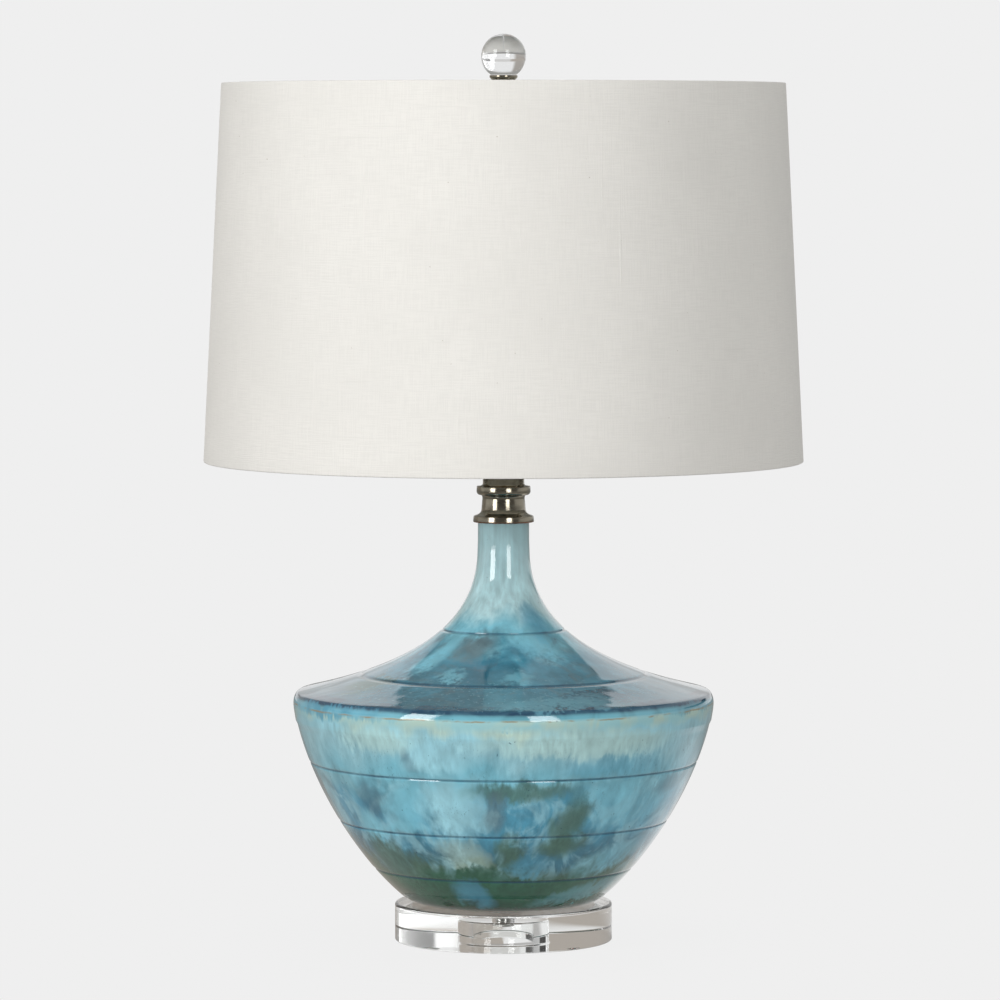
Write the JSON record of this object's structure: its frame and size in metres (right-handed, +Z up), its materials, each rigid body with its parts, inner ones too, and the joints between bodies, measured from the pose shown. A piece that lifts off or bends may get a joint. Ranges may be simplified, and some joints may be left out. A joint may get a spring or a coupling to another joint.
{
  "type": "table lamp",
  "caption": "Table lamp with a turned, reactive-glazed vase on a clear round foot, a drum shade on a harp and a ball finial.",
  "frame": {"origin": "middle of the lamp's footprint, on the surface that it stands on", "axes": "+Z up along the lamp's own axis; -Y is the front, where the switch knob is; the harp's legs stand on the X axis; the cord inlet is at the back, +Y"},
  "size_m": [0.4064, 0.4064, 0.6161],
  "materials": {
    "acrylic": "polished clear cast acrylic",
    "clear_rubber": "soft clear rubber",
    "glaze": "glossy reactive glaze, teal, aqua and blue with ochre and dark green breaks",
    "nickel": "satin antique nickel plate",
    "steel": "zinc-plated steel",
    "brass": "plain brass",
    "linen": "off-white linen weave",
    "styrene": "white styrene sheet",
    "crystal": "polished clear crystal",
    "opal_glass": "white frosted glass",
    "phenolic": "moulded black phenolic",
    "fibre": "pressed fibre insulation"
  },
  "bodies": {
    "base": {"acrylic_foot": "acrylic", "foot_pad_1": "clear_rubber", "foot_pad_2": "clear_rubber", "foot_pad_3": "clear_rubber", "foot_pad_4": "clear_rubber", "seat_gasket": "clear_rubber", "threaded_rod": "steel", "base_washer": "steel", "base_nut": "steel", "ceramic_vase": "glaze", "cord_grommet": "phenolic", "neck_bushing": "clear_rubber", "vase_cap": "nickel", "check_ring": "nickel", "harp_saddle": "nickel", "saddle_nut": "steel", "socket_cap": "brass", "socket_set_screw": "steel", "socket_shell": "brass", "socket_liner": "fibre", "socket_core": "phenolic", "terminal_screw_1": "brass", "terminal_screw_2": "steel", "centre_contact": "brass", "screw_shell": "brass"},
    "knob": {"switch_stem": "brass", "switch_knob": "phenolic"},
    "bulb_tip": {"bulb_eyelet": "brass", "bulb_insulator": "phenolic"},
    "bulb": {"bulb_base": "steel", "bulb_globe": "opal_glass"},
    "harp": {"harp_wire": "nickel", "harp_stud": "nickel"},
    "ferrule_left": {"harp_ferrule_left": "nickel"},
    "ferrule_right": {"harp_ferrule_right": "nickel"},
    "shade": {"shade_linen": "linen", "shade_liner": "styrene", "bottom_ring": "steel", "spider": "steel"},
    "finial_core": {"finial_insert": "brass"},
    "finial": {"finial_base": "nickel", "finial_ball": "crystal"}
  },
  "joints": [
    {"name": "switch_turn", "type": "hinge", "parent": "base", "child": "knob", "pos_m": [0, -0.025, 0.352], "axis": [0, -1, 0], "continuous": true},
    {"name": "bulb_rise", "type": "slide", "parent": "base", "child": "bulb_tip", "axis": [0, 0, 1], "range_m": [0, 0.0182]},
    {"name": "bulb_unscrew", "type": "hinge", "parent": "bulb_tip", "child": "bulb", "pos_m": [0, 0, 0.37], "axis": [0, 0, 1], "range_deg": [0, 1800]},
    {"name": "harp_lift", "type": "slide", "parent": "base", "child": "harp", "axis": [0, 0, 1], "range_m": [0, 0.03]},
    {"name": "ferrule_left_lift", "type": "slide", "parent": "harp", "child": "ferrule_left", "axis": [0, 0, 1], "range_m": [0, 0.014]},
    {"name": "ferrule_right_lift", "type": "slide", "parent": "harp", "child": "ferrule_right", "axis": [0, 0, 1], "range_m": [0, 0.014]},
    {"name": "shade_turn", "type": "hinge", "parent": "harp", "child": "shade", "pos_m": [0, 0, 0.57], "axis": [0, 0, 1], "continuous": true},
    {"name": "finial_rise", "type": "slide", "parent": "harp", "child": "finial_core", "axis": [0, 0, 1], "range_m": [0, 0.0118]},
    {"name": "finial_unscrew", "type": "hinge", "parent": "finial_core", "child": "finial", "pos_m": [0, 0, 0.58], "axis": [0, 0, 1], "range_deg": [0, 4500]}
  ],
  "couplings": [
    {"joint": "bulb_rise", "follows": "bulb_unscrew", "m_per_rad": 0.0005775},
    {"joint": "finial_rise", "follows": "finial_unscrew", "m_per_rad": 0.00014972}
  ]
}
